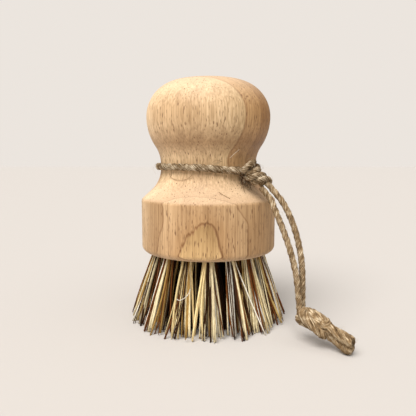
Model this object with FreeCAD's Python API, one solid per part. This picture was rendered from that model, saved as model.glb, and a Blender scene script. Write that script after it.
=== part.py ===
import FreeCAD, Part

# Dish brush: a turned wooden handle, tufts of plant fibre folded over wire anchors,
# and a twine hanger that is knotted round the neck.
# The bristle tips stand on Z = 0, the axis of the handle is +Z, and the front faces -Y.
# Sizes are in millimetres and angles in degrees.

import math
import os

# Wooden handle, turned in one piece
HEAD_DIAMETER = 55.0
HEAD_HEIGHT = 21.2            # drilled face to the corner of the shoulder
BOTTOM_EDGE_RADIUS = 2.5
SHOULDER_EDGE_RADIUS = 1.8
SHOULDER_SLOPE = 42.4         # from level
SHOULDER_COVE_RADIUS = 11.7
NECK_DIAMETER = 39.0
NECK_STRAIGHT = 2.1
NECK_COVE_RADIUS = 12.0
KNOB_OVERHANG = 5.6           # widest level of the knob, out from the neck
KNOB_RISE = 18.4              # top of the straight neck to the widest level
KNOB_ROUND_RADIUS = 14.6
KNOB_CROWN = 9.2              # slope where the flat top of the knob begins

# Bristles
BRISTLE_LENGTH = 28.0         # drilled face down to the trimmed tips
OUTER_SPLAY = 15.0            # lean of the outer ring of tufts
RIM_MARGIN = 1.8              # wood between the outer holes and the rounded lower edge
RING_PITCH = 6.8              # least step from ring to ring
TUFT_PITCH = 7.9              # least step from tuft to tuft along a ring
TUFT_GAP = 1.6                # least gap between two tufts at the tips
TUFT_COLLAR = 1.0             # bound stretch of a tuft below its hole
STRANDS_PER_TUFT = 16
STRAND_SIDES = 5
STRAND_ROOT_RADIUS = 0.35
STRAND_TIP_RADIUS = 0.55

# Holes and anchors
HOLE_DIAMETER = 4.6
HOLE_DEPTH = 12.0
HOLE_CLEARANCE = 0.1          # between a tuft and the wall of its hole
ANCHOR_THICKNESS = 0.5
ANCHOR_HEIGHT = 1.6
ANCHOR_BITE = 0.5             # each end of an anchor into the wood

# Twine hanger
TWINE_DIAMETER = 2.3
TWINE_CLEARANCE = 0.3         # loop to neck
LOOP_RISE = 0.85              # loop above the lower end of the straight neck
LOOP_SAG = 1.8                # how far the knot pulls the loop down
LOOP_SAG_WIDTH = 38.0         # half of the stretch that is pulled down
LOOP_POINTS = 36
HANGER_AZIMUTH = 48.5         # plane of the hanging strands, from the front towards +X
NECK_KNOT_AZIMUTH = 43.5
NECK_KNOT_STANDOFF = 6.0      # axis of the knot, out from the neck
NECK_KNOT_DROP = 2.3          # middle of the knot below the straight neck
NECK_KNOT_TURNS = 3
NECK_KNOT_AXIS = FreeCAD.Vector(0.62, -0.28, -0.73)
END_KNOT_TURNS = 4
KNOT_CORE_RADIUS = 2.5
KNOT_TURN_PITCH = 3.2
KNOT_TURN_BULGE = 0.9
STRAND_OFFSET = 1.35          # each strand at its knots, from the middle between the two
TAIL_TIP_WIDTH = 3.0
TAIL_TIP_DEPTH = 6.4

# Middle line of the two hanging strands: distance from the axis, height, each strand from the middle,
# and the direction from one strand to the other, from +X
HANGING_ROUTE = (
    (34.6, 48.6, 2.2, 0),
    (39.0, 40.0, 2.2, 0),
    (42.4, 30.5, 1.75, 15),
    (44.0, 20.5, 1.4, 45),
    (44.4, 10.6, 1.4, 60),
)
END_KNOT_START = (42.6, 11.4)
END_KNOT_END = (55.4, 6.7)
TAIL_TIP = (63.8, 3.35)

# What follows from the sizes above
head_radius = HEAD_DIAMETER / 2
neck_radius = NECK_DIAMETER / 2
knob_radius = neck_radius + KNOB_OVERHANG
hole_radius = HOLE_DIAMETER / 2
twine_radius = TWINE_DIAMETER / 2
face_height = BRISTLE_LENGTH
shoulder_height = face_height + HEAD_HEIGHT
slope_sin = math.sin(math.radians(SHOULDER_SLOPE))
slope_cos = math.cos(math.radians(SHOULDER_SLOPE))
shoulder_width = head_radius - neck_radius
cove_radius = min(SHOULDER_COVE_RADIUS, 0.75 * shoulder_width / (1 - slope_sin))
cove_centre_radius = neck_radius + cove_radius
neck_bottom = shoulder_height + (cove_radius - (cove_centre_radius - head_radius) * slope_sin) / slope_cos
neck_top = neck_bottom + NECK_STRAIGHT
knob_height = neck_top + KNOB_RISE

UP = FreeCAD.Vector(0, 0, 1)
ORIGIN = FreeCAD.Vector(0, 0, 0)


def turned_point(radius, height):
    """A point of a turned outline, in the X-Z plane."""
    return FreeCAD.Vector(radius, 0, height)


def on_circle(centre, radius, angle):
    """The point of a circle in the X-Z plane at an angle from +X."""
    turn = math.radians(angle)
    return centre + FreeCAD.Vector(radius * math.cos(turn), 0, radius * math.sin(turn))


def arc(centre, radius, start, end):
    """An arc in the X-Z plane about a centre, from one angle to another."""
    middle = (start + end) / 2
    return Part.Arc(*[on_circle(centre, radius, angle) for angle in (start, middle, end)]).toShape()


def turned(pieces):
    """Solid of revolution about Z: points and arcs in order, joined by straight lines."""
    edges = []
    first = None
    last = None
    for piece in pieces:
        is_arc = isinstance(piece, Part.Edge)
        begin = piece.valueAt(piece.FirstParameter) if is_arc else piece
        end = piece.valueAt(piece.LastParameter) if is_arc else piece
        if last is None:
            first = begin
        elif last.distanceToPoint(begin) > 1e-6:
            edges.append(Part.LineSegment(last, begin).toShape())
        if is_arc:
            edges.append(piece)
        last = end
    edges.append(Part.LineSegment(last, first).toShape())
    return Part.Face(Part.Wire(edges)).revolve(ORIGIN, UP, 360)


def in_hanger_plane(distance, height):
    """A point at a distance from the axis, in the vertical plane of the hanging strands."""
    turn = math.radians(HANGER_AZIMUTH)
    return FreeCAD.Vector(distance * math.sin(turn), -distance * math.cos(turn), height)


def laid_along(shape, start, direction):
    """A shape made along +Z from the origin, moved to a start point and turned to a direction."""
    placed = shape.copy()
    placed.Placement = FreeCAD.Placement(start, FreeCAD.Rotation(UP, direction))
    return placed


def handle_blank():
    """Head, shoulder cone, coved neck and knob, all tangent to one another except at the corners."""
    bottom_centre = turned_point(head_radius - BOTTOM_EDGE_RADIUS, face_height + BOTTOM_EDGE_RADIUS)
    edge_reach = SHOULDER_EDGE_RADIUS * math.tan(math.radians((90 - SHOULDER_SLOPE) / 2))
    edge_centre = turned_point(head_radius - SHOULDER_EDGE_RADIUS, shoulder_height - edge_reach)
    cove_centre = turned_point(cove_centre_radius, neck_bottom)
    neck_centre = turned_point(neck_radius + NECK_COVE_RADIUS, neck_top)
    both_radii = (KNOB_RISE ** 2 + KNOB_OVERHANG ** 2) / (2 * KNOB_OVERHANG)
    under_radius = both_radii - NECK_COVE_RADIUS
    under_centre = turned_point(knob_radius - under_radius, knob_height)
    across = under_centre - neck_centre
    meet = math.degrees(math.atan2(across.z, across.x))
    round_centre = turned_point(knob_radius - KNOB_ROUND_RADIUS, knob_height)
    crown_start = on_circle(round_centre, KNOB_ROUND_RADIUS, 90 - KNOB_CROWN)
    crown_radius = crown_start.x / math.sin(math.radians(KNOB_CROWN))
    crown_drop = crown_radius * math.cos(math.radians(KNOB_CROWN))
    crown_centre = turned_point(0, crown_start.z - crown_drop)
    return turned([
        turned_point(0, face_height),
        arc(bottom_centre, BOTTOM_EDGE_RADIUS, -90, 0),
        arc(edge_centre, SHOULDER_EDGE_RADIUS, 0, 90 - SHOULDER_SLOPE),
        arc(cove_centre, cove_radius, 270 - SHOULDER_SLOPE, 180),
        arc(neck_centre, NECK_COVE_RADIUS, 180, meet),
        arc(under_centre, under_radius, meet - 180, 0),
        arc(round_centre, KNOB_ROUND_RADIUS, 0, 90 - KNOB_CROWN),
        arc(crown_centre, crown_radius, 90 - KNOB_CROWN, 90),
    ])


# Rings of tufts: each tuft leans out from the axis in proportion to its distance from it
outer_pitch_radius = head_radius - BOTTOM_EDGE_RADIUS - RIM_MARGIN - hole_radius
tip_spread = BRISTLE_LENGTH * math.tan(math.radians(OUTER_SPLAY))
tip_scale = (outer_pitch_radius + tip_spread) / outer_pitch_radius
ring_total = int(outer_pitch_radius / RING_PITCH)
ring_step = outer_pitch_radius / ring_total
tip_radius = (min(ring_step, TUFT_PITCH) * tip_scale - TUFT_GAP) / 2
tuft_radius = hole_radius - HOLE_CLEARANCE
fold_top = HOLE_DEPTH - HOLE_CLEARANCE
anchor_top = fold_top - tuft_radius
anchor_length = HOLE_DIAMETER + 2 * ANCHOR_BITE
RING_NAMES = ("outer", "middle", "inner", "fourth", "fifth", "sixth")


def hole_place(pitch_radius):
    """Placement of a hole at azimuth +X: its mouth in the drilled face, its axis leaning with the tuft."""
    lean = math.degrees(math.atan((tip_scale - 1) * pitch_radius / BRISTLE_LENGTH))
    mouth = turned_point(pitch_radius, face_height)
    return FreeCAD.Placement(mouth, FreeCAD.Rotation(FreeCAD.Vector(0, 1, 0), -lean))


def hole_tool(pitch_radius):
    """What is cut from the wood for a tuft: the blind hole, drilled from below the face."""
    below = HOLE_DIAMETER
    tool = Part.makeCylinder(hole_radius, HOLE_DEPTH + below, FreeCAD.Vector(0, 0, -below))
    tool.Placement = hole_place(pitch_radius)
    return tool


def anchor(pitch_radius):
    """Flat wire anchor across the hole, under the fold of the tuft, its two ends in the wood."""
    corner = FreeCAD.Vector(-ANCHOR_THICKNESS / 2, -anchor_length / 2, anchor_top - ANCHOR_HEIGHT)
    plate = Part.makeBox(ANCHOR_THICKNESS, anchor_length, ANCHOR_HEIGHT, corner)
    plate.Placement = hole_place(pitch_radius)
    return plate


def folded_root(pitch_radius):
    """The part of a tuft in its hole: a round bundle whose upper end is folded over the anchor."""
    height = anchor_top + TUFT_COLLAR
    bundle = Part.makeCylinder(tuft_radius, height + tuft_radius, FreeCAD.Vector(0, 0, -TUFT_COLLAR))
    leg_corner = FreeCAD.Vector(-tuft_radius, -HOLE_DIAMETER, -TUFT_COLLAR)
    legs = Part.makeBox(2 * tuft_radius, 2 * HOLE_DIAMETER, height, leg_corner)
    fold_start = FreeCAD.Vector(0, -HOLE_DIAMETER, anchor_top)
    fold = Part.makeCylinder(tuft_radius, 2 * HOLE_DIAMETER, fold_start, FreeCAD.Vector(0, 1, 0))
    root = bundle.common(legs.fuse(fold))
    root.Placement = hole_place(pitch_radius).multiply(root.Placement)
    return root.cut(anchor(pitch_radius))


def level_polygon(centre, radius, turn):
    """A regular polygon in a level plane."""
    points = []
    for side in range(STRAND_SIDES + 1):
        angle = turn + 2 * math.pi * side / STRAND_SIDES
        points.append(centre + FreeCAD.Vector(radius * math.cos(angle), radius * math.sin(angle), 0))
    return Part.makePolygon(points)


def bristle_strands(pitch_radius):
    """The free part of a tuft: strands spread like the seeds of a sunflower, trimmed level at Z = 0."""
    strands = []
    root_spread = tuft_radius - STRAND_ROOT_RADIUS
    tip_spread_radius = tip_radius - STRAND_TIP_RADIUS
    for index in range(STRANDS_PER_TUFT):
        share = math.sqrt(index / (STRANDS_PER_TUFT - 1))
        angle = index * math.radians(137.508)
        aside = FreeCAD.Vector(math.cos(angle), math.sin(angle), 0) * share
        root = turned_point(pitch_radius, face_height) + aside * root_spread * 0.97
        tip = turned_point(pitch_radius * tip_scale, 0) + aside * tip_spread_radius
        ends = [level_polygon(root, STRAND_ROOT_RADIUS, angle), level_polygon(tip, STRAND_TIP_RADIUS, angle)]
        strands.append(Part.makeLoft(ends, True, True))
    return strands


def tuft(pitch_radius):
    """One tuft at azimuth +X: folded root and spread strands in one piece."""
    return folded_root(pitch_radius).multiFuse(bristle_strands(pitch_radius))


def around(shape, angle):
    """A copy of a shape, turned about the axis of the brush."""
    copy = shape.copy()
    copy.rotate(ORIGIN, UP, angle)
    return copy


def ring_angles(ring, count):
    """Azimuths of the tufts of a ring, every second ring turned by half a step."""
    step = 360 / count
    return [(index + 0.5 * (ring % 2)) * step for index in range(count)]


def knot(turns):
    """A knot along +Z: rounded turns of twine round a core, with a level face at each end."""
    length = turns * KNOT_TURN_PITCH
    half = KNOT_TURN_PITCH / 2
    turn_radius = (half ** 2 + KNOT_TURN_BULGE ** 2) / (2 * KNOT_TURN_BULGE)
    reach = math.degrees(math.asin(half / turn_radius))
    centre_radius = KNOT_CORE_RADIUS + KNOT_TURN_BULGE - turn_radius
    outline = [turned_point(0, 0)]
    for index in range(turns):
        centre = turned_point(centre_radius, (index + 0.5) * KNOT_TURN_PITCH)
        outline.append(arc(centre, turn_radius, -reach, reach))
    outline.append(turned_point(0, length))
    return turned(outline)


def loop_line(radius):
    """The closed middle line of the neck loop: level at the back, and lower where the knot pulls it down."""
    points = []
    for index in range(LOOP_POINTS):
        azimuth = NECK_KNOT_AZIMUTH + 360 * index / LOOP_POINTS
        off_knot = (azimuth - NECK_KNOT_AZIMUTH + 180) % 360 - 180
        sag = LOOP_SAG * math.exp(-(off_knot / LOOP_SAG_WIDTH) ** 2)
        turn = math.radians(azimuth)
        height = neck_bottom + LOOP_RISE - sag
        points.append(FreeCAD.Vector(radius * math.sin(turn), -radius * math.cos(turn), height))
    line = Part.BSplineCurve()
    line.interpolate(points, PeriodicFlag=True)
    return line


def closed_cord(line):
    """A round tube along a closed line, swept in two halves that are then joined."""
    ends = (line.FirstParameter, (line.FirstParameter + line.LastParameter) / 2, line.LastParameter)
    halves = []
    for begin, end in zip(ends, ends[1:]):
        section = Part.Wire(Part.makeCircle(twine_radius, line.value(begin), line.tangent(begin)[0]))
        halves.append(Part.Wire(line.toShape(begin, end)).makePipeShell([section], True, True))
    return halves[0].fuse(halves[1])


def cord(name, points):
    """A round tube along straight runs, joined by tangent arcs as large as the runs allow."""
    edges = []
    radii = []
    begin = points[0]
    for before, corner, after in zip(points, points[1:], points[2:]):
        into = corner - before
        out = after - corner
        reach = 0.45 * min(into.Length, out.Length)
        into.normalize()
        out.normalize()
        half_turn = into.getAngle(out) / 2
        radius = reach / math.tan(half_turn)
        inward = out - into
        inward.normalize()
        middle = corner + inward * (radius / math.cos(half_turn) - radius)
        edges.append(Part.LineSegment(begin, corner - into * reach).toShape())
        edges.append(Part.Arc(corner - into * reach, middle, corner + out * reach).toShape())
        radii.append(round(radius, 1))
        begin = corner + out * reach
    edges.append(Part.LineSegment(begin, points[-1]).toShape())
    path = Part.Wire(edges)
    section = Part.Wire(Part.makeCircle(twine_radius, points[0], points[1] - points[0]))
    tube = path.makePipeShell([section], True, False)
    expected = math.pi * twine_radius ** 2 * path.Length
    print(name, "radii", radii, "length", round(path.Length, 1), "volume", round(tube.Volume / expected, 4))
    return tube


def frayed_tail(start, leaving, tip, aside):
    """One end of the twine past the end knot, spread from its round section to a flat frayed end."""
    root = Part.Wire(Part.makeCircle(twine_radius, start + aside * STRAND_OFFSET, leaving))
    end = Part.Ellipse(ORIGIN, TAIL_TIP_DEPTH / 2, TAIL_TIP_WIDTH / 2).toShape()
    along = tip - start
    along.normalize()
    upright = aside.cross(along)
    frame = FreeCAD.Rotation(upright, aside * -1, along, "ZXY")
    end.Placement = FreeCAD.Placement(tip + aside * (TAIL_TIP_WIDTH / 2 + 0.1), frame)
    return Part.makeLoft([root, Part.Wire(end)], True, True)


def export(name, shape):
    """One node of the part, as its own file."""
    shape.exportStep(os.path.join("parts", name + ".step"))


os.makedirs("parts", exist_ok=True)

# Tufts, their holes and their anchors, ring by ring and then the one in the middle
cutters = []
for ring in range(ring_total):
    pitch_radius = outer_pitch_radius - ring * ring_step
    count = int(2 * math.pi * pitch_radius / TUFT_PITCH)
    one_tuft = tuft(pitch_radius)
    ring_anchors = []
    for number, angle in enumerate(ring_angles(ring, count), start=1):
        cutters.append(around(hole_tool(pitch_radius), angle))
        ring_anchors.append(around(anchor(pitch_radius), angle))
        export("tuft_%s_%02d" % (RING_NAMES[ring], number), around(one_tuft, angle))
    cutters.extend(ring_anchors)
    export("anchors_" + RING_NAMES[ring], Part.makeCompound(ring_anchors))
cutters.append(hole_tool(0))
cutters.append(anchor(0))
export("tuft_centre", tuft(0))
export("anchor_centre", anchor(0))
export("handle", handle_blank().cut(cutters))

# Twine: loop round the neck, its knot, two hanging strands, the end knot and the frayed ends
loop_radius = neck_radius + TWINE_CLEARANCE + twine_radius
to_hanger = in_hanger_plane(1, 0)
loop = closed_cord(loop_line(loop_radius))

knot_turn = math.radians(NECK_KNOT_AZIMUTH)
knot_distance = neck_radius + NECK_KNOT_STANDOFF
knot_x = knot_distance * math.sin(knot_turn)
knot_y = -knot_distance * math.cos(knot_turn)
knot_middle = FreeCAD.Vector(knot_x, knot_y, neck_bottom - NECK_KNOT_DROP)
knot_axis = FreeCAD.Vector(NECK_KNOT_AXIS)
knot_axis.normalize()
knot_reach = knot_axis * (NECK_KNOT_TURNS * KNOT_TURN_PITCH / 2)
neck_knot = laid_along(knot(NECK_KNOT_TURNS), knot_middle - knot_reach, knot_axis).cut(loop)
strand_start = knot_middle + knot_reach

end_start = in_hanger_plane(*END_KNOT_START)
end_finish = in_hanger_plane(*END_KNOT_END)
end_axis = end_finish - end_start
end_axis.normalize()
end_knot = laid_along(knot(END_KNOT_TURNS), end_start, end_axis)
tail_start = end_start + end_axis * (END_KNOT_TURNS * KNOT_TURN_PITCH)
sideways = UP.cross(to_hanger)

# The strands leave the knot side by side, square to its axis, and hang side by side
view = FreeCAD.Vector(0, 1, 0)
exit_aside = knot_axis.cross(view)
exit_aside.normalize()
strands = {}
for name, side in (("hanging_strand_left", -1), ("hanging_strand_right", 1)):
    first = strand_start + exit_aside * (side * STRAND_OFFSET)
    second = first + knot_axis * TWINE_DIAMETER * 2
    route = [first, second]
    for far, high, aside, direction in HANGING_ROUTE:
        turn = math.radians(direction)
        apart = FreeCAD.Vector(math.cos(turn), math.sin(turn), 0) * aside
        route.append(in_hanger_plane(far, high) + apart * side)
    strands[name] = cord(name, route).cut(end_knot)

tail_tip = in_hanger_plane(*TAIL_TIP)
tails = [frayed_tail(tail_start, end_axis, tail_tip, sideways * side) for side in (-1, 1)]

export("neck_loop", loop)
export("neck_knot", neck_knot)
for name, strand in strands.items():
    export(name, strand)
export("end_knot", end_knot)
export("frayed_ends", Part.makeCompound(tails))
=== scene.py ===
# %% [markdown]
# # A wooden dish brush
#
# The object is a small round brush for scrubbing dishes: a turned wooden knob, tufts of stiff plant
# fibre set in drilled holes, and a loop of jute twine to hang it by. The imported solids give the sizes
# and the moving bodies. This file keeps those sizes and makes the surfaces that an eye would notice:
# grain in the wood, single fibres in the tufts, and the twist of the twine.
#
# Everything below is worked out in millimetres and turned into metres when a mesh is made.

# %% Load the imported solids
import math

import bpy
import numpy as np
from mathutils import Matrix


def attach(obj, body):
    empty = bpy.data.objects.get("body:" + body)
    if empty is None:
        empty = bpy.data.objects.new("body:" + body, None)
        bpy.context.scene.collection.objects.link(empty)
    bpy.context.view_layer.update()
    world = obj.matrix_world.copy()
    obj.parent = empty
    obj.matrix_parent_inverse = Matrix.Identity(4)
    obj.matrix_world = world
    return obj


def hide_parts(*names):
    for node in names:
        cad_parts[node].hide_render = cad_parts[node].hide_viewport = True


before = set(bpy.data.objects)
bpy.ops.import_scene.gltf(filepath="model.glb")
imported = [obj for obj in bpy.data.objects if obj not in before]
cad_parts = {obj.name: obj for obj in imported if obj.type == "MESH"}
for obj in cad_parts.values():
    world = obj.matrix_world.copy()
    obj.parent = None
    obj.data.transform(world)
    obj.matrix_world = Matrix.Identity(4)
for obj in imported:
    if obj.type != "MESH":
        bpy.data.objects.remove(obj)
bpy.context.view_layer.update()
MM = 0.001
random = np.random.default_rng(416)

# %% [markdown]
# ## Camera
#
# The camera stands level with the neck of the brush and looks down a little. Its distance was found by
# matching the ellipses of the head and the outline of the knob. Near things look larger from so close,
# which is why the twine's end knot seems big.

# %% Camera
IMAGE_PIXELS = 416
FOCAL_PIXELS = 438.0
CAMERA_PLACE = (-0.15, -182.0, 65.1)
CAMERA_PITCH = 6.26

camera_lens = bpy.data.cameras.new("camera")
camera_lens.sensor_width = 36.0
camera_lens.lens = FOCAL_PIXELS / IMAGE_PIXELS * camera_lens.sensor_width
camera_lens.clip_start = 0.01
camera = bpy.data.objects.new("camera", camera_lens)
camera.location = [value * MM for value in CAMERA_PLACE]
camera.rotation_euler = (math.radians(90 - CAMERA_PITCH), 0, 0)
bpy.context.collection.objects.link(camera)
bpy.context.scene.camera = camera
bpy.context.scene.view_settings.view_transform = "Standard"
print("lens", round(camera_lens.lens, 1), "mm")

# %% [markdown]
# ## Light
#
# Soft light comes from high up at the left, as from a wide window, and more weakly from the ceiling.
# Lamps of the sun kind do this with few numbers: their angle makes the edges of shadows soft, and their
# place doesn't matter. A pale world fills the shadows. The world is brighter for the eye than as a
# light, so that the background is pale and the shadows still have depth.

# %% Lights and world
SKY_COLOUR = (0.95, 0.89, 0.83, 1)
SKY_LIGHT = 0.36
SKY_SEEN = 0.88


def soft_sun(name, away, spread, strength, colour):
    """A distant light that shines from a direction, as wide in the sky as its spread in degrees."""
    lamp = bpy.data.lights.new(name, "SUN")
    lamp.angle = math.radians(spread)
    lamp.energy = strength
    lamp.color = colour
    holder = bpy.data.objects.new(name, lamp)
    turn = math.atan2(away[1], away[0]) + math.pi / 2
    tilt = math.atan2(math.hypot(away[0], away[1]), away[2])
    holder.rotation_euler = (tilt, 0, turn)
    holder.location = [value * MM for value in away]
    bpy.context.collection.objects.link(holder)


soft_sun("window", (-250, -390, 700), spread=44.0, strength=3.5, colour=(1.0, 0.97, 0.94))
soft_sun("ceiling", (80, -120, 500), spread=80.0, strength=1.0, colour=(1.0, 0.98, 0.95))
world = bpy.data.worlds.new("pale room")
world.use_nodes = True
sky = world.node_tree.nodes["Background"]
sky.inputs["Color"].default_value = SKY_COLOUR
seen = world.node_tree.nodes.new("ShaderNodeLightPath")
brightness = world.node_tree.nodes.new("ShaderNodeMapRange")
brightness.inputs["To Min"].default_value = SKY_LIGHT
brightness.inputs["To Max"].default_value = SKY_SEEN
world.node_tree.links.new(seen.outputs["Is Camera Ray"], brightness.inputs["Value"])
world.node_tree.links.new(brightness.outputs[0], sky.inputs["Strength"])
bpy.context.scene.world = world
print("lights:", [lamp.name for lamp in bpy.data.lights])

# %% [markdown]
# ## Meshes from arrays
#
# A surface is a grid of points: one direction runs along the piece and the other runs round it. With
# numpy the whole grid is worked out at once, and Blender takes the arrays as they are, which is much
# faster than adding points one by one. A second helper gives a piece its material and its place on a
# moving body.

# %% Mesh helpers


def put_mesh(name, points, polygons, smooth=True):
    """A mesh object from points in millimetres and a list of index arrays, one array per polygon size."""
    corners = np.concatenate([group.ravel() for group in polygons])
    sizes = np.concatenate([np.full(len(group), group.shape[1]) for group in polygons])
    starts = np.concatenate([[0], np.cumsum(sizes)[:-1]])
    mesh = bpy.data.meshes.new(name)
    mesh.vertices.add(len(points))
    mesh.vertices.foreach_set("co", (np.asarray(points) * MM).astype(np.float32).ravel())
    mesh.loops.add(len(corners))
    mesh.loops.foreach_set("vertex_index", corners.astype(np.int32))
    mesh.polygons.add(len(sizes))
    mesh.polygons.foreach_set("loop_start", starts.astype(np.int32))
    mesh.polygons.foreach_set("use_smooth", np.full(len(sizes), smooth))
    mesh.update(calc_edges=True)
    mesh.validate()
    piece = bpy.data.objects.new(name, mesh)
    bpy.context.collection.objects.link(piece)
    return piece


def read_points(piece):
    """The points of a piece, in millimetres."""
    places = np.empty(len(piece.data.vertices) * 3)
    piece.data.vertices.foreach_get("co", places)
    return places.reshape(-1, 3) / MM


def move_points(piece, places):
    """Puts the points of a piece at new places, in millimetres."""
    piece.data.vertices.foreach_set("co", (places * MM).ravel())
    piece.data.update()


def dress(piece, material, slot, body, *nodes):
    """Gives a piece its material and its body, and hides the solids that it stands for. The slot is not
    used.
    """
    piece.data.materials.append(material)
    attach(piece, body)
    if nodes:
        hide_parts(*nodes)


def point_colours(piece, name, colours):
    """A colour for each point of a piece, which its material reads by name."""
    layer = piece.data.attributes.new(name, "FLOAT_COLOR", "POINT")
    rgba = np.concatenate([colours, np.ones((len(colours), 1))], axis=1)
    layer.data.foreach_set("color", rgba.astype(np.float32).ravel())


# %% [markdown]
# ## Many tubes at once
#
# Fibres and hairs are thin round tubes, and there are well over a thousand. A curve object with a bevel
# could draw each of them, but one array formula that carries a round section along all paths of a tuft
# together gives a single mesh with few faces.

# %% Tubes


def unit(vectors):
    """Vectors divided by their lengths."""
    return vectors / np.linalg.norm(vectors, axis=-1, keepdims=True)


def tubes(centres, radii, sides, reference):
    """Points and polygons of many tubes: each point is its path's point plus its radius times a turn of
    two directions that are square to the path. centres is (tubes, stations, 3) and radii (tubes,
    stations)."""
    count, stations, _ = centres.shape
    along = unit(np.gradient(centres, axis=1))
    across = unit(np.cross(along, reference))
    up = np.cross(along, across)
    angle = np.arange(sides) * 2 * np.pi / sides
    spokes = np.cos(angle)[:, None] * across[:, :, None, :] + np.sin(angle)[:, None] * up[:, :, None, :]
    points = centres[:, :, None, :] + radii[:, :, None, None] * spokes
    index = np.arange(count * stations * sides).reshape(count, stations, sides)
    after = np.roll(index, -1, axis=2)
    walls = np.stack([index[:, :-1], after[:, :-1], after[:, 1:], index[:, 1:]], axis=-1).reshape(-1, 4)
    ends = np.concatenate([index[:, 0, ::-1], index[:, -1]])
    return points.reshape(-1, 3), [walls, ends]


# %% [markdown]
# ## Shader helpers
#
# A material is a small graph of nodes. Writing it out in Blender's own calls is long, so one helper adds
# a node, sets its fields and links its inputs in one line. Three more do the same for the commonest
# nodes: arithmetic, a colour ramp, and a mix of two colours.

# %% Shader helpers


def new_material(name):
    """An empty material, with its node tree and its main shader."""
    material = bpy.data.materials.new(name)
    material.use_nodes = True
    tree = material.node_tree
    return material, tree, tree.nodes["Principled BSDF"]


def node(tree, kind, links=None, values=None, **fields):
    """Adds a node: fields are its own settings, values its unlinked inputs, links its inputs from others."""
    made = tree.nodes.new(kind)
    for field, value in fields.items():
        setattr(made, field, value)
    for socket, value in (values or {}).items():
        made.inputs[socket].default_value = value
    for socket, source in (links or {}).items():
        tree.links.new(source, made.inputs[socket])
    return made


def maths(tree, operation, first, second=None, third=None, clamp=False):
    """The result of one arithmetic step on sockets or plain numbers."""
    made = tree.nodes.new("ShaderNodeMath")
    made.operation = operation
    made.use_clamp = clamp
    for socket, value in zip(made.inputs, (first, second, third)):
        if value is None:
            continue
        if isinstance(value, (int, float)):
            socket.default_value = value
        else:
            tree.links.new(value, socket)
    return made.outputs[0]


def ramp(tree, factor, stops):
    """A colour ramp through (place, colour) stops, straight from one to the next."""
    made = tree.nodes.new("ShaderNodeValToRGB")
    elements = made.color_ramp.elements
    while len(elements) < len(stops):
        elements.new(1.0)
    for element, (place, colour) in zip(elements, stops):
        element.position = place
        element.color = (*colour, 1)
    tree.links.new(factor, made.inputs["Fac"])
    return made.outputs["Color"]


def mix(tree, blend, factor, first, second):
    """Two colours mixed. The factor may be a plain number, and each colour a plain tuple."""
    made = tree.nodes.new("ShaderNodeMix")
    made.data_type = "RGBA"
    made.blend_type = blend
    for socket, value in ((made.inputs[0], factor), (made.inputs[6], first), (made.inputs[7], second)):
        if isinstance(value, (int, float)):
            socket.default_value = value
        elif isinstance(value, tuple):
            socket.default_value = (*value, 1)
        else:
            tree.links.new(value, socket)
    return made.outputs[2]


# %% [markdown]
# ## Floor
#
# The brush stands on its bristles, so it needs a floor to stand on. One large plain square is enough,
# wide enough that its far edge is lost in the distance, and pale enough to meet the world without a
# line.

# %% Floor
FLOOR_REACH = 4000.0
FLOOR_COLOUR = (0.545, 0.52, 0.495, 1)
FLOOR_GAP = 0.02

floor_corners = np.array([[-1, -1, 0], [1, -1, 0], [1, 1, 0], [-1, 1, 0]]) * FLOOR_REACH
floor = put_mesh("floor", floor_corners, [np.array([[0, 1, 2, 3]])], smooth=False)
floor_material, _, floor_shader = new_material("pale floor")
floor_shader.inputs["Base Color"].default_value = FLOOR_COLOUR
floor_shader.inputs["Roughness"].default_value = 0.9
floor_shader.inputs["Specular IOR Level"].default_value = 0.1
floor.data.materials.append(floor_material)
print("floor:", 2 * FLOOR_REACH * MM, "m wide")

# %% [markdown]
# ## Turned handle
#
# The handle was turned on a lathe, so it is one outline carried round an axis. The sizes are those of
# the solid: round lower edge, straight side, sloped shoulder with a cove into the neck, and a knob made
# of arcs that run smoothly into each other. The heights follow from the sizes, as they do in the solid.

# %% Sizes of the handle
HEAD_RADIUS = 27.5
FACE_HEIGHT = 28.0
HEAD_HEIGHT = 21.2
BOTTOM_EDGE_RADIUS = 2.5
SHOULDER_EDGE_RADIUS = 1.8
SHOULDER_SLOPE = math.radians(42.4)
SHOULDER_COVE_RADIUS = 11.7
NECK_RADIUS = 19.5
NECK_STRAIGHT = 2.1
NECK_COVE_RADIUS = 12.0
KNOB_OVERHANG = 5.6
KNOB_RISE = 18.4
KNOB_ROUND_RADIUS = 14.6
KNOB_CROWN = math.radians(9.2)

shoulder_height = FACE_HEIGHT + HEAD_HEIGHT
cove_reach = (NECK_RADIUS + SHOULDER_COVE_RADIUS - HEAD_RADIUS) * math.sin(SHOULDER_SLOPE)
neck_bottom = shoulder_height + (SHOULDER_COVE_RADIUS - cove_reach) / math.cos(SHOULDER_SLOPE)
neck_top = neck_bottom + NECK_STRAIGHT
knob_height = neck_top + KNOB_RISE
knob_radius = NECK_RADIUS + KNOB_OVERHANG
print("neck from", round(neck_bottom, 1), "to", round(neck_top, 1), "mm high")
print("knob widest at", round(knob_height, 1), "mm")

# %% [markdown]
# ## Holes for the tufts
#
# The holes are drilled in rings: sixteen outside, then eleven and five, and one in the middle. Each hole
# leans outwards in proportion to its distance from the axis, so the tips of the fibres stand in the same
# pattern as the holes, only larger. That is why one scale gives every tip.

# %% Rings of holes
HOLE_RADIUS = 2.3
OUTER_PITCH_RADIUS = 20.9
OUTER_SPLAY = math.radians(15.0)
TIP_SCALE = 1 + FACE_HEIGHT * math.tan(OUTER_SPLAY) / OUTER_PITCH_RADIUS
# Name of the ring, its radius at the drilled face, number of holes, and its turn in steps of the ring
RINGS = (
    ("outer", OUTER_PITCH_RADIUS, 16, 0.0),
    ("middle", OUTER_PITCH_RADIUS * 2 / 3, 11, 0.5),
    ("inner", OUTER_PITCH_RADIUS / 3, 5, 0.0),
    ("centre", 0.0, 1, 0.0),
)


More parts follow.
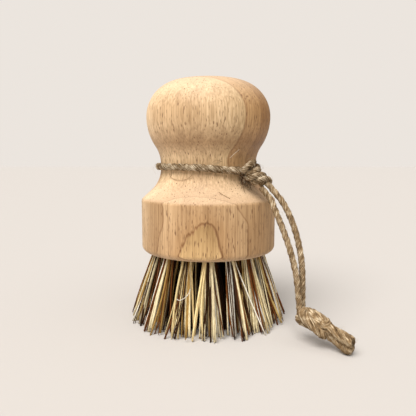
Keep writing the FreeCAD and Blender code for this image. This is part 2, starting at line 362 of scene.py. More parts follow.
def ring_places(radius, count, shift):
    """The middle of each hole of a ring, in the plane of the drilled face."""
    angle = (np.arange(count) + shift) * 2 * np.pi / count
    return radius * np.stack([np.cos(angle), np.sin(angle)], axis=1)


hole_places = np.concatenate([ring_places(*ring[1:]) for ring in RINGS])
print("holes:", len(hole_places))

# %% [markdown]
# ## Outline of the handle
#
# A lathe can follow a template of the outline, and so does this cell: arcs and straight lines, each
# beginning where the last one ends. An arc is a row of points on a circle between two angles. More
# points go where the outline bends, so the knob looks round from close by.

# %% Outline of the handle
CROWN_STOP = 0.002    # radians before the top, where the pole closes the crown


def arc_points(centre, radius, start, end, count):
    """Points of an arc in the plane of distance and height, between two angles in radians."""
    angle = np.linspace(start, end, count)
    return np.stack([centre[0] + radius * np.cos(angle), centre[1] + radius * np.sin(angle)], axis=1)


def line_points(start, end, count):
    """Points of a straight line, without its two ends."""
    share = np.linspace(0, 1, count + 2)[1:-1, None]
    return np.array(start) + share * (np.array(end) - np.array(start))


def handle_outline():
    """Distance from the axis and height of the handle's outline, from the rim of the drilled face to the
    crown: arcs that touch, with straight lines on the side of the head and on the shoulder."""
    quarter = math.pi / 2
    bottom_centre = (HEAD_RADIUS - BOTTOM_EDGE_RADIUS, FACE_HEIGHT + BOTTOM_EDGE_RADIUS)
    bottom = arc_points(bottom_centre, BOTTOM_EDGE_RADIUS, -quarter, 0, 12)
    edge_reach = SHOULDER_EDGE_RADIUS * math.tan((quarter - SHOULDER_SLOPE) / 2)
    edge_centre = (HEAD_RADIUS - SHOULDER_EDGE_RADIUS, shoulder_height - edge_reach)
    edge = arc_points(edge_centre, SHOULDER_EDGE_RADIUS, 0, quarter - SHOULDER_SLOPE, 9)
    cove_centre = (NECK_RADIUS + SHOULDER_COVE_RADIUS, neck_bottom)
    cove = arc_points(cove_centre, SHOULDER_COVE_RADIUS, 3 * quarter - SHOULDER_SLOPE, 2 * quarter, 16)
    under_radius = (KNOB_RISE ** 2 + KNOB_OVERHANG ** 2) / (2 * KNOB_OVERHANG) - NECK_COVE_RADIUS
    neck_centre = (NECK_RADIUS + NECK_COVE_RADIUS, neck_top)
    under_centre = (knob_radius - under_radius, knob_height)
    meet = math.atan2(under_centre[1] - neck_centre[1], under_centre[0] - neck_centre[0])
    neck = arc_points(neck_centre, NECK_COVE_RADIUS, 2 * quarter, meet, 12)
    under = arc_points(under_centre, under_radius, meet - 2 * quarter, 0, 16)
    round_centre = (knob_radius - KNOB_ROUND_RADIUS, knob_height)
    top = arc_points(round_centre, KNOB_ROUND_RADIUS, 0, quarter - KNOB_CROWN, 26)
    crown_radius = top[-1, 0] / math.sin(KNOB_CROWN)
    crown_centre = (0, top[-1, 1] - crown_radius * math.cos(KNOB_CROWN))
    crown = arc_points(crown_centre, crown_radius, quarter - KNOB_CROWN, quarter - CROWN_STOP, 9)
    side = line_points(bottom[-1], edge[0], 16)
    cone = line_points(edge[-1], cove[0], 7)
    return np.concatenate([bottom, side, edge, cone, cove, neck, under[1:], top[1:], crown[1:]])


outline = handle_outline()
print("outline:", len(outline), "points, top at", round(float(outline[-1, 1]), 2), "mm")

# %% [markdown]
# ## Surface of the handle
#
# The outline goes round the axis in equal steps. Underneath, rings of points fill the drilled face.
# Cutting the holes with a Boolean would leave ragged faces, so the grid is pressed up wherever a hole
# is, with steep sides, and the tufts hide the rest.

# %% Handle surface
FACE_MIDDLE = 0.3       # radius of the innermost ring of points on the drilled face
HOLE_MARGIN = 0.1       # how far outside a hole its side begins
HOLE_SIDE = 0.35        # how wide that side is


def handle_surface(segments=288, face_rings=86, hole_depth=1.8):
    """The outline turned about the axis. A point of the drilled face within a hole is raised by the
    hole's depth."""
    face = np.stack([np.linspace(FACE_MIDDLE, outline[0, 0], face_rings, endpoint=False),
                     np.full(face_rings, FACE_HEIGHT)], axis=1)
    profile = np.concatenate([face, outline])
    angle = np.arange(segments) * 2 * np.pi / segments
    points = np.empty((len(profile), segments, 3))
    points[:, :, 0] = profile[:, :1] * np.cos(angle)
    points[:, :, 1] = profile[:, :1] * np.sin(angle)
    points[:, :, 2] = profile[:, 1:]
    under = points[:face_rings]
    apart = np.linalg.norm(under[:, :, None, :2] - hole_places, axis=-1).min(axis=-1)
    under[:, :, 2] += hole_depth * np.clip((HOLE_RADIUS + HOLE_MARGIN - apart) / HOLE_SIDE, 0, 1)
    index = np.arange(points.shape[0] * segments).reshape(-1, segments)
    after = np.roll(index, -1, axis=1)
    walls = np.stack([index[:-1], after[:-1], after[1:], index[1:]], axis=-1).reshape(-1, 4)
    grid = points.reshape(-1, 3)
    poles = np.array([[0, 0, FACE_HEIGHT + hole_depth], [0, 0, outline[-1, 1]]])
    low = np.stack([np.full(segments, len(grid)), after[0], index[0]], axis=1)
    high = np.stack([np.full(segments, len(grid) + 1), index[-1], after[-1]], axis=1)
    return np.concatenate([grid, poles]), [walls, low, high]


handle = put_mesh("turned_handle", *handle_surface())
print("handle:", len(handle.data.polygons), "faces")

# %% [markdown]
# ## Wood
#
# The wood is a pale, open-pored one. Its growth rings are cylinders round the middle of the tree, the
# pith, which stood behind the brush and leaned a little. Where the turned surface cuts such a cylinder,
# a line shows: straight on the sides and pointed like a flame on the front of the head. So the colour
# follows the distance from a leaning line in the wood, and not a picture. This works from every side.

# %% Pith and rings
# Height in millimetres, and where the pith lies there: right of the axis and behind it
PITH_LINE = (
    (28.0, 2.6, 20.45), (33.0, 2.1, 20.26), (38.0, 1.6, 20.1), (41.3, 1.0, 19.94), (45.5, 1.9, 19.5),
    (48.5, 2.8, 19.25), (51.7, 3.9, 20.3), (57.0, 4.8, 21.5), (62.0, 8.6, 19.1), (68.6, 9.0, 18.2),
    (75.0, 9.0, 16.4), (82.3, 9.0, 15.55), (89.0, 9.0, 16.3), (93.0, 9.0, 17.7), (95.5, 9.0, 19.2),
    (97.0, 9.0, 20.9), (97.6, 9.0, 22.6),
)
CURVE_HEIGHT = 100.0
CURVE_REACH = 25.0

# Distance from the pith in millimetres, and the colour of the wood there
RING_COLOURS = (
    (20.0, (0.60, 0.385, 0.205)),
    (27.6, (0.52, 0.31, 0.155)),
    (28.0, (0.50, 0.30, 0.145)),
    (32.4, (0.47, 0.275, 0.13)),
    (32.7, (0.57, 0.355, 0.18)),
    (36.5, (0.58, 0.365, 0.19)),
    (36.9, (0.41, 0.235, 0.115)),
    (37.1, (0.66, 0.47, 0.28)),
    (40.8, (0.74, 0.53, 0.335)),
    (42.8, (0.62, 0.42, 0.25)),
    (45.2, (0.53, 0.34, 0.19)),
    (45.5, (0.60, 0.40, 0.235)),
    (46.9, (0.55, 0.35, 0.195)),
    (47.3, (0.51, 0.31, 0.16)),
    (52.0, (0.49, 0.295, 0.15)),
)
RING_FROM = RING_COLOURS[0][0]
RING_WIDTH = RING_COLOURS[-1][0] - RING_FROM
WOOD_SHADE = np.array((0.945, 0.925, 0.84))
# Rings that end in a thin dark line: distance from the pith, half of the line's width, and how dark it is
RING_LINES = ((24.6, 0.5, 0.22), (27.6, 0.4, 0.30), (30.2, 0.35, 0.25), (32.5, 0.3, 0.32),
              (34.6, 0.4, 0.22), (45.33, 0.13, 0.55))
LINE_COLOUR = (0.22, 0.10, 0.035)
print("rings over", RING_WIDTH, "mm, with", len(RING_LINES), "dark lines")

# %% [markdown]
# ## Steps of the wood finish
#
# A few steps come back all through this finish, so each gets a name: a curve over the height, a noise
# that swings about zero, a value that rises from 0 to 1 over a distance, and one that is 1 at a place
# and fades away from it. Pores are cut lengthways on the sides and across on the shoulder. Voronoi cells
# that are long in the direction of the grain, with a dark middle, give both.

# %% Steps of the wood finish
PORE_EDGE = 2.2


def height_curve(tree, height, column):
    """A value that follows a smooth curve over the height, through one column of the pith line."""
    made = tree.nodes.new("ShaderNodeFloatCurve")
    curve = made.mapping.curves[0]
    places = [(row[0] / CURVE_HEIGHT, row[column] / CURVE_REACH) for row in PITH_LINE]
    curve.points[0].location = (0.0, places[0][1])
    curve.points[-1].location = (1.0, places[-1][1])
    for place in places:
        curve.points.new(*place)
    made.mapping.update()
    tree.links.new(maths(tree, "DIVIDE", height, CURVE_HEIGHT), made.inputs["Value"])
    return maths(tree, "MULTIPLY", made.outputs[0], CURVE_REACH)


def noise(tree, place, scale, detail):
    """Noise with its own scale for each axis, in cells per unit of the place."""
    cells = node(tree, "ShaderNodeMapping", {0: place}, {"Scale": scale})
    made = node(tree, "ShaderNodeTexNoise", {"Vector": cells.outputs[0]}, {"Scale": 1.0, "Detail": detail})
    return made.outputs[0]


def swing(tree, place, scale, height):
    """Noise less its middle value, times a height."""
    return maths(tree, "MULTIPLY", maths(tree, "SUBTRACT", noise(tree, place, scale, 2.0), 0.5), height)


def rise(tree, value, start, width):
    """From 0 at the start to 1 at the start plus the width, which is negative for a rise the other way."""
    return maths(tree, "DIVIDE", maths(tree, "SUBTRACT", value, start), width, clamp=True)


def close_to(tree, value, middle, reach):
    """One where the value is the middle, falling evenly to nothing at the reach from it."""
    off = maths(tree, "ABSOLUTE", maths(tree, "SUBTRACT", value, middle))
    return maths(tree, "SUBTRACT", 1.0, maths(tree, "DIVIDE", off, reach), clamp=True)


def pores(tree, place, scale, sharpness):
    """Long cells with a dark middle: one at the middle and falling to nothing at 1 over the sharpness."""
    cells = node(tree, "ShaderNodeMapping", {0: place}, {"Scale": scale})
    uneven = {"Scale": 1.0, "Randomness": 1.0}
    cell = node(tree, "ShaderNodeTexVoronoi", {"Vector": cells.outputs[0]}, uneven)
    near = maths(tree, "MULTIPLY", cell.outputs["Distance"], sharpness)
    return maths(tree, "MULTIPLY", maths(tree, "SUBTRACT", 1.0, near, clamp=True), PORE_EDGE, clamp=True)


# %% [markdown]
# ## Rings and flame
#
# On the front of the head, the outermost ring shows as a pale golden flame with a dark outline that
# rises to a peak and is ragged on its left. A ring of a perfect cylinder would have a round top, so a
# small rise in the distance makes the peak, and noise makes the ragged side. The thin lines are worked
# out from the distance itself, because a colour ramp has too few steps for them.

# %% Rings and flame
# Noise in the rings: cells per millimetre along each axis, and how many millimetres it swings
WANDER = ((0.14, 0.14, 0.08), 0.08)
WAVER = ((0.6, 0.6, 0.07), 0.17)
RAGGED = ((0.9, 0.9, 0.10), 0.34)
RAGGED_WIDTH = 2.5
FLAME_DISTANCE = 47.46
FLAME_EDGE = 0.05
FLAME_LINE = (47.42, 0.075, 0.9)
FLAME_COLOUR = (0.72, 0.475, 0.225)
FLAME_TIP_COLOUR = (0.41, 0.25, 0.105)
FLAME_FOOT = 27.0
FLAME_HEIGHT = 14.0
PEAK_X = -0.6
PEAK_HALF_WIDTH = 4.6
PEAK_RISE = 0.13
PEAK_DROP = -0.045


def ring_colours(tree, in_mm, axes):
    """The colour of the ring at each place: the distance from the pith, with some noise, picks it from
    the ramp. The flame begins where that distance, with the rise of the peak, passes a limit."""
    right = maths(tree, "SUBTRACT", axes[0], height_curve(tree, axes[2], 1))
    behind = maths(tree, "SUBTRACT", axes[1], height_curve(tree, axes[2], 2))
    squares = [maths(tree, "MULTIPLY", off, off) for off in (right, behind)]
    uneven = maths(tree, "ADD", swing(tree, in_mm, *WANDER), swing(tree, in_mm, *WAVER))
    distance = maths(tree, "ADD", maths(tree, "SQRT", maths(tree, "ADD", *squares)), uneven)
    stops = [((far - RING_FROM) / RING_WIDTH, tuple(WOOD_SHADE * colour)) for far, colour in RING_COLOURS]
    rings = ramp(tree, rise(tree, distance, RING_FROM, RING_WIDTH), stops)
    pointed = close_to(tree, axes[0], PEAK_X, PEAK_HALF_WIDTH)
    peak = maths(tree, "MULTIPLY_ADD", pointed, PEAK_RISE, PEAK_DROP)
    leftward = rise(tree, axes[0], PEAK_X, -RAGGED_WIDTH)
    peak = maths(tree, "ADD", peak, maths(tree, "MULTIPLY", swing(tree, in_mm, *RAGGED), leftward))
    in_flame = maths(tree, "ADD", distance, peak)
    up_flame = rise(tree, axes[2], FLAME_FOOT, FLAME_HEIGHT)
    flame_colour = mix(tree, "MIX", up_flame, FLAME_COLOUR, FLAME_TIP_COLOUR)
    rings = mix(tree, "MIX", rise(tree, in_flame, FLAME_DISTANCE, FLAME_EDGE), rings, flame_colour)
    lines = [(distance, *line) for line in RING_LINES] + [(in_flame, *FLAME_LINE)]
    for measure, far, half_width, darkness in lines:
        line = maths(tree, "MULTIPLY", close_to(tree, measure, far, half_width), darkness)
        rings = mix(tree, "MIX", line, rings, LINE_COLOUR)
    return rings


# %% [markdown]
# ## Tones of the wood
#
# Over the rings lie fine streaks and broad bands along the grain, which show less on level surfaces. The
# wood is darker to the right, which is heartwood and painted shade, and paler to the left, which is
# sapwood and painted light. It is a little darker at the left of the head. A band under the knob is
# painted shade, and level surfaces are made paler as painted light. Here each is a colour that is
# multiplied or mixed in by place on the handle, so it stays where it is when the handle is seen from
# another side.

# %% Tones of the wood
STREAK_SCALE = (1.7, 1.7, 0.06)
STREAK_STOPS = [(0.28, (0.66, 0.60, 0.53)), (0.5, (0.98, 0.97, 0.96)), (0.72, (1.20, 1.24, 1.29))]
BAND_SCALE = (0.30, 0.30, 0.02)
BAND_STOPS = [(0.32, (0.87, 0.85, 0.83)), (0.5, (0.98, 0.98, 0.98)), (0.68, (1.07, 1.08, 1.09))]
LEVEL_SHOWS = 0.35
# Where a tone begins, over how many millimetres it grows, and its colour
# Heart tone: heartwood, with painted shade on the right, the side away from the light
HEART_AND_SHADE_FROM, HEART_AND_SHADE_WIDTH, HEART_AND_SHADE_COLOUR = 12.0, 12.0, (0.74, 0.64, 0.51)
# Sap tone: sapwood, with painted light on the left, the side towards the light
SAPWOOD_AND_LIGHT_FROM, SAPWOOD_AND_LIGHT_WIDTH, SAPWOOD_AND_LIGHT_COLOUR = -7.0, -17.0, (1.26, 1.30, 1.38)
LEFT_FROM, LEFT_WIDTH, LEFT_COLOUR = -15.5, -4.0, (0.76, 0.72, 0.67)
LOW_FROM, LOW_WIDTH = 50.5, -1.5
# Painted shade: a darker band under the knob's belly
UNDER_KNOB_SHADE_HEIGHT, UNDER_KNOB_SHADE_REACH, UNDER_KNOB_SHADE_COLOUR = 71.6, 6.0, (0.68, 0.61, 0.54)
# Painted light: level surfaces, such as the shoulder and the crown, are mixed towards a pale colour
LEVEL_LIGHT_SHARE, LEVEL_LIGHT_COLOUR = 0.36, (0.90, 0.74, 0.585)


def wood_tones(tree, in_mm, axes, rings, streak, upright):
    """The rings times streaks and bands, and then times each tone, as far as it has risen at the place."""
    showing = maths(tree, "MULTIPLY_ADD", upright, 1 - LEVEL_SHOWS, LEVEL_SHOWS)
    toned = mix(tree, "MULTIPLY", showing, rings, ramp(tree, streak, STREAK_STOPS))
    bands = ramp(tree, noise(tree, in_mm, BAND_SCALE, 2.0), BAND_STOPS)
    toned = mix(tree, "MULTIPLY", showing, toned, bands)
    # Darker to the right: heartwood and painted shade
    toned = mix(tree, "MULTIPLY", rise(tree, axes[0], HEART_AND_SHADE_FROM, HEART_AND_SHADE_WIDTH), toned, HEART_AND_SHADE_COLOUR)
    # Paler to the left: sapwood and painted light
    toned = mix(tree, "MULTIPLY", rise(tree, axes[0], SAPWOOD_AND_LIGHT_FROM, SAPWOOD_AND_LIGHT_WIDTH), toned, SAPWOOD_AND_LIGHT_COLOUR)
    left = rise(tree, axes[0], LEFT_FROM, LEFT_WIDTH)
    low = rise(tree, axes[2], LOW_FROM, LOW_WIDTH)
    toned = mix(tree, "MULTIPLY", maths(tree, "MULTIPLY", left, low), toned, LEFT_COLOUR)
    # Painted light: level surfaces are mixed towards a pale colour
    level = maths(tree, "MULTIPLY_ADD", upright, -LEVEL_LIGHT_SHARE, LEVEL_LIGHT_SHARE)
    toned = mix(tree, "MIX", level, toned, LEVEL_LIGHT_COLOUR)
    # Painted shade: a darker band under the knob
    return mix(tree, "MULTIPLY", close_to(tree, axes[2], UNDER_KNOB_SHADE_HEIGHT, UNDER_KNOB_SHADE_REACH), toned, UNDER_KNOB_SHADE_COLOUR)


# %% [markdown]
# ## Pores and the whole finish
#
# The pores are open vessels: large ones everywhere, fine dashes that come and go on the sides, and faint
# short ones. They are darker than the wood and lie a little below it, so they go into the colour and
# into the bump. The wood looks sanded and hardly polished, so it is rough and shines little.

# %% Wood
PORE_COLOUR = (0.17, 0.08, 0.035)
PORE_DARKNESS = 0.88
# Each kind of pore: cells per millimetre along each axis, and how sharp its middle is
LARGE_PORES = ((0.82, 0.82, 0.17), 5.4)
DASH_PORES = ((1.5, 1.5, 0.17), 4.3)
SHORT_PORES = ((1.3, 1.3, 0.33), 5.2)
SHORT_DARKNESS = 0.55
DASH_PATCHES = (0.25, 0.25, 0.10)
DASH_STRENGTH = 1.7
DASH_STEEPNESS = 3.0
STREAK_RELIEF = 0.3


def wood_pores(tree, in_mm, upright):
    """How much of a pore is at each place: the largest of the three kinds."""
    faint = maths(tree, "MULTIPLY", noise(tree, in_mm, DASH_PATCHES, 1.0), DASH_STRENGTH, clamp=True)
    steep = maths(tree, "POWER", upright, DASH_STEEPNESS)
    dashes = maths(tree, "MULTIPLY", pores(tree, in_mm, *DASH_PORES), steep)
    short = maths(tree, "MULTIPLY", pores(tree, in_mm, *SHORT_PORES), SHORT_DARKNESS)
    pore = maths(tree, "MAXIMUM", pores(tree, in_mm, *LARGE_PORES), maths(tree, "MULTIPLY", dashes, faint))
    return maths(tree, "MAXIMUM", pore, short)


def wood_finish():
    """Ring colours by distance from the pith, toned by place, with dark open pores. upright is 1 on a
    steep surface and 0 on a level one: 1 less the square of the normal's height."""
    material, tree, shader = new_material("open-pored wood")
    place = node(tree, "ShaderNodeTexCoord").outputs["Object"]
    per_metre = {1: (1 / MM, 1 / MM, 1 / MM)}
    in_mm = node(tree, "ShaderNodeVectorMath", {0: place}, per_metre, operation="MULTIPLY").outputs[0]
    axes = node(tree, "ShaderNodeSeparateXYZ", {0: in_mm}).outputs
    normal = node(tree, "ShaderNodeNewGeometry").outputs["Normal"]
    level = node(tree, "ShaderNodeSeparateXYZ", {0: normal}).outputs[2]
    upright = maths(tree, "SUBTRACT", 1.0, maths(tree, "MULTIPLY", level, level))
    streak = noise(tree, in_mm, STREAK_SCALE, 4.0)
    toned = wood_tones(tree, in_mm, axes, ring_colours(tree, in_mm, axes), streak, upright)
    pore = wood_pores(tree, in_mm, upright)
    colour = mix(tree, "MIX", maths(tree, "MULTIPLY", pore, PORE_DARKNESS), toned, PORE_COLOUR)
    tree.links.new(colour, shader.inputs["Base Color"])
    height = maths(tree, "SUBTRACT", maths(tree, "MULTIPLY", streak, STREAK_RELIEF), pore)
    bump = node(tree, "ShaderNodeBump", {"Height": height}, {"Strength": 0.35, "Distance": 0.0003})
    tree.links.new(bump.outputs[0], shader.inputs["Normal"])
    shader.inputs["Roughness"].default_value = 0.55
    shader.inputs["Specular IOR Level"].default_value = 0.3
    return material


wood = wood_finish()
dress(handle, wood, "wood", "brush", "handle")
print("wood:", len(wood.node_tree.nodes), "nodes")

# %% [markdown]
# ## Tones of the fibres
#
# The outer tufts are cream plant fibre with honey, grey and some brown ones among it. Those inside are
# dark brown, with some cream in the middle ring. The brown tones, and the darkest among the cream, are
# darker than the fibre itself: they are brown fibre and painted shade in the gaps between the tufts.
# Every fibre has one tone, so a short list of tones with their shares is enough. Neighbours from the
# same clump are often alike, as they come from the same bundle.

# %% Tones of the fibres
# The last two tones are dark brown fibre, made near black in part as painted shade between the fibres
CREAM_TONES = np.array([[0.96, 0.84, 0.54], [0.88, 0.70, 0.36], [0.68, 0.48, 0.18], [0.92, 0.88, 0.77],
                        [0.46, 0.28, 0.08], [0.70, 0.60, 0.38], [0.17, 0.054, 0.009],
                        [0.040, 0.013, 0.002]])
CREAM_SHARES = np.array([0.20, 0.14, 0.07, 0.11, 0.05, 0.03, 0.16, 0.24])
# Dark brown fibre, darker than the fibre itself as painted shade in the gaps between the tufts
BROWN_AND_SHADE_TONES = np.array([[0.085, 0.026, 0.004], [0.17, 0.060, 0.010], [0.024, 0.008, 0.002],
                        [0.28, 0.13, 0.04]])
BROWN_SHARES = np.array([0.36, 0.20, 0.38, 0.06])
MIXED_TONES = np.concatenate([BROWN_AND_SHADE_TONES, CREAM_TONES[:4]])
MIXED_SHARES = np.concatenate([0.76 * BROWN_SHARES, [0.09, 0.06, 0.04, 0.05]])
# Each ring: tones, their shares, and the chance that a fibre has the tone of its clump
FIBRE_MIX = {
    "outer": (CREAM_TONES, CREAM_SHARES, 0.4),
    "middle": (MIXED_TONES, MIXED_SHARES, 0.4),
    "inner": (BROWN_AND_SHADE_TONES, BROWN_SHARES, 0.0),
    "centre": (BROWN_AND_SHADE_TONES, BROWN_SHARES, 0.0),
}
DIMMEST, BRIGHTEST = 0.72, 1.16


def fibre_tones(clump, tones, shares, alike):
    """A tone for every fibre, slightly varied. With a chance of alike, a fibre has the tone of its clump."""
    count = len(clump)
    own = random.choice(len(tones), count, p=shares / shares.sum())
    shared = random.choice(len(tones), clump.max() + 1, p=shares / shares.sum())[clump]
    picked = tones[np.where(random.random(count) < alike, shared, own)]
    return picked * random.uniform(DIMMEST, BRIGHTEST, (count, 1))


print("tones:", {ring: len(tones) for ring, (tones, shares, alike) in FIBRE_MIX.items()})

# %% [markdown]
# ## Paths of the fibres
#
# A tuft is a few dozen stiff fibres, folded in half in their hole. Below the face they stay together for
# a little and then spread. One formula places all fibres of a tuft: where a fibre leaves the hole, where
# its tip is, and a bow between the two. The tips were trimmed level, but use has pushed some fibres out
# of line, and a few lie across their neighbours. Blender's hair would do this too, but plain tubes can
# be exported.

# %% Paths of the fibres
GOLDEN_ANGLE = math.radians(137.508)
CLUMPS = 7
CLUMPING = 0.4
CLUMP_PLACE = 0.67
# Fibres out of line: their share, how far they are moved in millimetres, and the most
STRAY_SHARE, STRAY_SPREAD, STRAY_LIMIT = 0.2, 1.5, 2.2
CROSSING_SHARE, CROSSING_SPREAD, CROSSING_LIMIT = 0.08, 4.0, 6.5
MOST_REACH = 32.8
BOW = 0.5
# How much shorter a fibre is on the whole, and at most, as shares of its length
SHORTER, SHORTEST = 0.02, 0.12
ROOT_SHARE = -0.06
SPREAD_POWER = 0.95
THIN_POWER = 1.6
TIP_THINNING = 0.15
# Each ring: fibres in a tuft, how far they spread, how unruly they are, thinnest and thickest radius
FIBRES = {
    "outer": (36, 4.8, 1.2, 0.19, 0.56),
    "middle": (56, 5.0, 1.4, 0.20, 0.44),
    "inner": (64, 5.0, 1.5, 0.20, 0.40),
    "centre": (64, 5.0, 1.5, 0.20, 0.40),
}


def fibre_tips(place, aside, gathered, spread, unruly):
    """Where the tips are, from the tuft's own tip: the place in the hole, drawn to the middle of its
    clump, times the spread. Strays are moved a little further, crossing fibres along the ring, and none
    past the reach."""
    count = len(aside)
    tip = (aside + CLUMPING * (gathered - aside)) * spread + random.normal(0, unruly, (count, 2))
    strays = random.random(count) < STRAY_SHARE
    tip[strays] += np.clip(random.normal(0, STRAY_SPREAD, (strays.sum(), 2)), -STRAY_LIMIT, STRAY_LIMIT)
    crossing = random.random(count) < CROSSING_SHARE
    along_ring = np.array((-place[1], place[0])) / max(math.hypot(*place), 1.0)
    shift = np.clip(random.normal(0, CROSSING_SPREAD, (crossing.sum(), 1)), -CROSSING_LIMIT, CROSSING_LIMIT)
    tip[crossing] += shift * along_ring
    tuft_tip = np.array(place) * TIP_SCALE
    end = tuft_tip + tip
    return end * np.minimum(1, MOST_REACH / np.linalg.norm(end, axis=1, keepdims=True)) - tuft_tip


def tuft_fibres(place, count, spread, unruly, thin, thick, stations=8):
    """Paths, radii and clumps of the fibres of one tuft. In the hole they lie on a spiral that gives
    each the same room, and a clump is a sector of it. With s from the root to the tip, a path is the
    tuft's own axis, plus the fibre's place in the hole, fading out, plus its place at the tip, growing
    with a power of s, plus a bow."""
    share = np.linspace(ROOT_SHARE, 1, stations)[:, None]
    grow = np.clip(share, 0, 1)
    order = np.sqrt((np.arange(count) + 0.5) / count)
    first_turn = random.uniform(0, 2 * np.pi)
    turn = np.arange(count) * GOLDEN_ANGLE
    clump = (turn / (2 * np.pi) % 1 * CLUMPS).astype(int)
    clump_turn = first_turn + (clump + 0.5) * 2 * np.pi / CLUMPS
    turn = turn + first_turn
    aside = order[:, None] * np.stack([np.cos(turn), np.sin(turn)], axis=1)
    root = aside * (HOLE_RADIUS - thick)
    gathered = CLUMP_PLACE * np.stack([np.cos(clump_turn), np.sin(clump_turn)], axis=1)
    tip = fibre_tips(place, aside, gathered, spread, unruly)
    bow = random.normal(0, BOW, (count, 2))
    lengths = (1 - np.clip(random.exponential(SHORTER, count), 0, SHORTEST))[:, None, None]
    axis_place = np.array(place) * (1 + (TIP_SCALE - 1) * share)
    flat = (axis_place[None] + root[:, None, :] * (1 - grow) + tip[:, None, :] * grow ** SPREAD_POWER
            + bow[:, None, :] * np.sin(np.pi * grow))
    paths = np.empty((count, stations, 3))
    paths[:, :, :2] = flat
    paths[:, :, 2] = FACE_HEIGHT * (1 - share[:, 0])
    paths = paths[:, :1] + (paths - paths[:, :1]) * lengths
    radii = thin + (thick - thin) * random.random(count) ** THIN_POWER
    return paths, radii[:, None] * (1 - TIP_THINNING * grow[:, 0]), clump


print("fibres in one tuft:", {ring: row[0] for ring, row in FIBRES.items()})

# %% [markdown]
# ## Tufts
#
# Each tuft becomes one mesh that takes the place of its solid. The tone of a fibre is stored on its
# points, so two materials serve all tufts: the finish reads the tone and adds fine streaks along the
# fibre. Five sides are enough for something about a millimetre thick.

# %% Tufts
FIBRE_SIDES = 5
FIBRE_REFERENCE = np.array((0.3, 1.0, 0.1))
STREAKS_ON_FIBRE = (2600, 2600, 240)
DARK_TONE = 0.2
DARK_THINNER = 0.8


def fibre_finish(name, roughness):
    """Dry plant fibre: its own tone, with fine streaks along it."""
    material, tree, shader = new_material(name)
    tone = node(tree, "ShaderNodeAttribute", attribute_name="tone").outputs["Color"]
    place = node(tree, "ShaderNodeTexCoord").outputs["Object"]
    streak = noise(tree, place, STREAKS_ON_FIBRE, 2.0)
    shade = ramp(tree, streak, [(0.3, (0.66, 0.62, 0.56)), (0.6, (1.06, 1.06, 1.06))])
    tree.links.new(mix(tree, "MULTIPLY", 0.8, tone, shade), shader.inputs["Base Color"])
    shader.inputs["Roughness"].default_value = roughness
    shader.inputs["Specular IOR Level"].default_value = 0.2
    return material


cream_finish = fibre_finish("cream fibre", 0.5)
brown_finish = fibre_finish("brown fibre", 0.45)
fibre_total = 0
for ring_name, *ring_sizes in RINGS:
    finish, slot = (cream_finish, "cream_fibre") if ring_name == "outer" else (brown_finish, "brown_fibre")
    for number, hole in enumerate(ring_places(*ring_sizes), start=1):
        tag = ring_name if ring_name == "centre" else "%s_%02d" % (ring_name, number)
        paths, radii, clump = tuft_fibres(hole, *FIBRES[ring_name])
        tones = fibre_tones(clump, *FIBRE_MIX[ring_name])
        radii = radii * np.where(tones[:, :1] < DARK_TONE, DARK_THINNER, 1.0)
        points, faces = tubes(paths, radii, FIBRE_SIDES, FIBRE_REFERENCE)
        points[:, 2] = np.maximum(points[:, 2], FLOOR_GAP)
        tuft = put_mesh("fibres_" + tag, points, faces)
        point_colours(tuft, "tone", np.repeat(tones, paths.shape[1] * FIBRE_SIDES, axis=0))
        dress(tuft, finish, slot, "brush", "tuft_" + tag)
        fibre_total += len(paths)
print("fibres:", fibre_total)

# %% [markdown]
# ## Curled fibre
#
# One pale fibre has come loose at the front and curls upwards. No formula for a tuft would give it, so
# it has a path of its own: a few points, and a smooth curve through them.

# %% Curled fibre
CURL_POINTS = ((-6.6, -26.2, 18.2), (-7.2, -26.9, 16.7), (-8.4, -27.3, 15.4), (-10.4, -27.3, 14.3),
               (-11.6, -27.0, 14.7))
CURL_TONE = (0.72, 0.6696, 0.576)
CURL_RADIUS = 0.16
CURL_STATIONS = 30


def through(points, count):
    """A smooth path through points: cubic pieces that keep the direction from the point before to the
    next."""
    points = np.asarray(points, dtype=float)
    before = np.concatenate([[2 * points[0] - points[1]], points, [2 * points[-1] - points[-2]]])
    share = np.linspace(0, len(points) - 1, count)
    piece = np.minimum(share.astype(int), len(points) - 2)
    part = (share - piece)[:, None]
    p0, p1, p2, p3 = [before[piece + step] for step in range(4)]
    return 0.5 * (2 * p1 + (p2 - p0) * part + (2 * p0 - 5 * p1 + 4 * p2 - p3) * part ** 2
                  + (3 * p1 - p0 - 3 * p2 + p3) * part ** 3)


def single_hair(name, line, radius, sides, reference, tone):
    """One tube along a line, of one tone, as a mesh."""
    points, faces = tubes(line[None], np.full((1, len(line)), radius), sides, np.array(reference))
    piece = put_mesh(name, points, faces)
    point_colours(piece, "tone", np.broadcast_to(tone, (len(points), 3)))
    return piece


curl = through(CURL_POINTS, CURL_STATIONS)
loose_fibre = single_hair("curled_fibre", curl, CURL_RADIUS, sides=6, reference=(0.1, 1.0, 0.2),
                          tone=CURL_TONE)
dress(loose_fibre, cream_finish, "cream_fibre", "brush")
print("curled fibre:", len(loose_fibre.data.polygons), "faces")

# %% [markdown]
# ## Twine
#
# The hanger is jute twine: three yarns laid round each other, each one a loose bundle of fibre. A yarn
# is a tube that winds round the twine's own middle line, with shallow furrows for its fibres and some
# lumps. A twisted texture on one thick tube would be simpler, but its outline would be too smooth.

# %% Laying a twine
TWINE_DIAMETER = 2.3
TWINE_PITCH = 8.5
YARN_RADIUS = 0.81
YARN_OFFSET = 0.35
YARNS = 3
# Depth of the five broad and the nine fine furrows of a yarn, and of its lumps, as shares of its radius
FURROW, FINE_FURROW, LUMP = 0.06, 0.03, 0.07
TEXTURE_LENGTH = 10.0


def path_frames(path, reference):
    """Unit vectors along a path and two square to it, from a reference direction that is never along it."""
    along = unit(np.gradient(path, axis=0))
    across = unit(np.cross(along, reference))
    return along, across, np.cross(along, across)


def path_length(path):
    """Distance along a path at each of its points."""
    return np.concatenate([[0], np.cumsum(np.linalg.norm(np.diff(path, axis=0), axis=1))])


